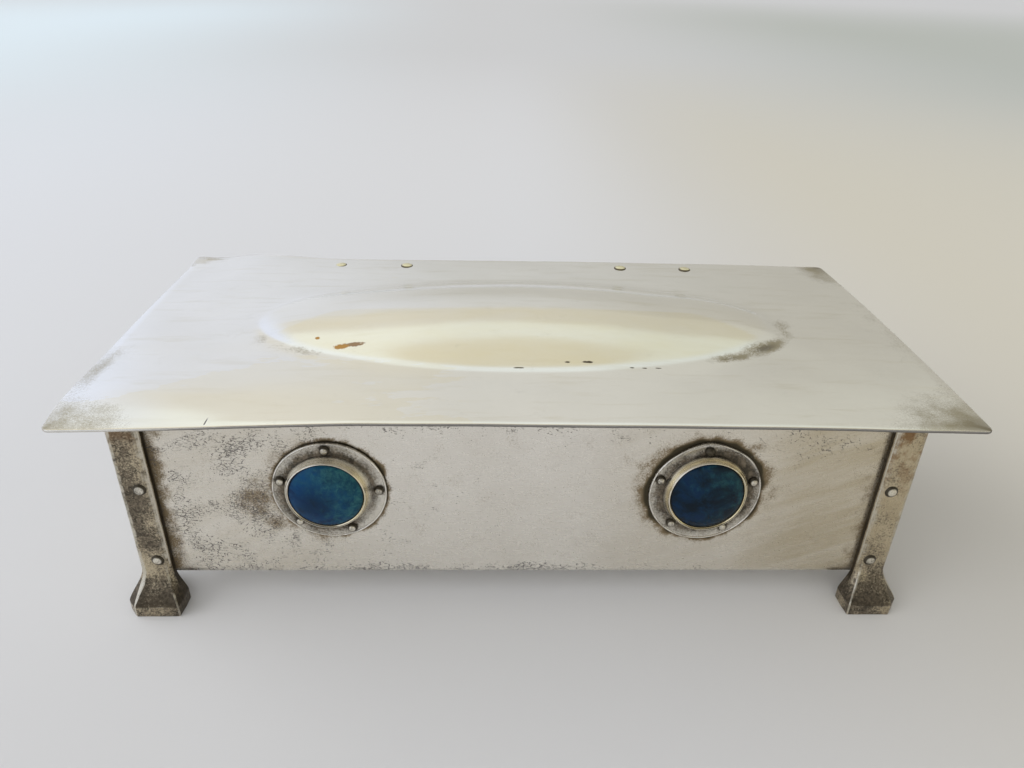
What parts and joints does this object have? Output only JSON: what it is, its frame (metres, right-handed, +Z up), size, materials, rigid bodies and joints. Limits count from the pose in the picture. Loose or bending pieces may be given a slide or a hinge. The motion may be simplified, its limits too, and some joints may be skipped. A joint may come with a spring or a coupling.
{
  "type": "jewellery casket",
  "caption": "Low riveted metal jewellery casket on flared corner legs, with domed blue cabochons in flanged settings and a hinged overhanging lid with a raised oval.",
  "frame": {"origin": "on the surface that the casket stands on, under the middle of its lid", "axes": "+Z up, +X to the right along the casket's length as seen from the front, +Y from the front with the cabochons to the back with the hinges"},
  "size_m": [0.254, 0.127, 0.0832],
  "materials": {
    "lid_silver": "satin",
    "wall_silver": "satin",
    "leg_silver": "satin",
    "setting_silver": "satin",
    "hinge_silver": "satin",
    "brass": "satin",
    "blue_glaze": "gloss",
    "velvet": "matte"
  },
  "bodies": {
    "box": {"back_rivet_left_1": "brass", "back_rivet_left_2": "brass", "back_rivet_right_1": "brass", "back_rivet_right_2": "brass", "back_wall": "wall_silver", "cabochon_left": "blue_glaze", "cabochon_right": "blue_glaze", "floor_plate": "wall_silver", "front_wall": "wall_silver", "hinge_back_leaf_left": "hinge_silver", "hinge_back_leaf_right": "hinge_silver", "hinge_pin_left": "brass", "hinge_pin_right": "brass", "left_wall": "wall_silver", "leg_back_left": "leg_silver", "leg_back_right": "leg_silver", "leg_front_left": "leg_silver", "leg_front_right": "leg_silver", "leg_rivet_back_left_lower": "leg_silver", "leg_rivet_back_left_upper": "leg_silver", "leg_rivet_back_right_lower": "leg_silver", "leg_rivet_back_right_upper": "leg_silver", "leg_rivet_front_left_lower": "leg_silver", "leg_rivet_front_left_upper": "leg_silver", "leg_rivet_front_right_lower": "leg_silver", "leg_rivet_front_right_upper": "leg_silver", "leg_rivet_left_back_lower": "leg_silver", "leg_rivet_left_back_upper": "leg_silver", "leg_rivet_left_front_lower": "leg_silver", "leg_rivet_left_front_upper": "leg_silver", "leg_rivet_right_back_lower": "leg_silver", "leg_rivet_right_back_upper": "leg_silver", "leg_rivet_right_front_lower": "leg_silver", "leg_rivet_right_front_upper": "leg_silver", "right_wall": "wall_silver", "setting_left": "setting_silver", "setting_right": "setting_silver", "setting_rivet_left_1": "setting_silver", "setting_rivet_left_2": "setting_silver", "setting_rivet_left_3": "setting_silver", "setting_rivet_left_4": "setting_silver", "setting_rivet_left_5": "setting_silver", "setting_rivet_right_1": "setting_silver", "setting_rivet_right_2": "setting_silver", "setting_rivet_right_3": "setting_silver", "setting_rivet_right_4": "setting_silver", "setting_rivet_right_5": "setting_silver", "velvet_pad": "velvet"},
    "lid": {"hinge_lid_leaf_left": "hinge_silver", "hinge_lid_leaf_right": "hinge_silver", "lid": "lid_silver", "lid_rivet_left_1": "brass", "lid_rivet_left_2": "brass", "lid_rivet_right_1": "brass", "lid_rivet_right_2": "brass"}
  },
  "joints": [
    {"name": "lid_hinge", "type": "hinge", "parent": "box", "child": "lid", "pos_m": [0, 0.051, 0.07115], "axis": [-1, 0, 0], "range_deg": [0, 95]}
  ]
}
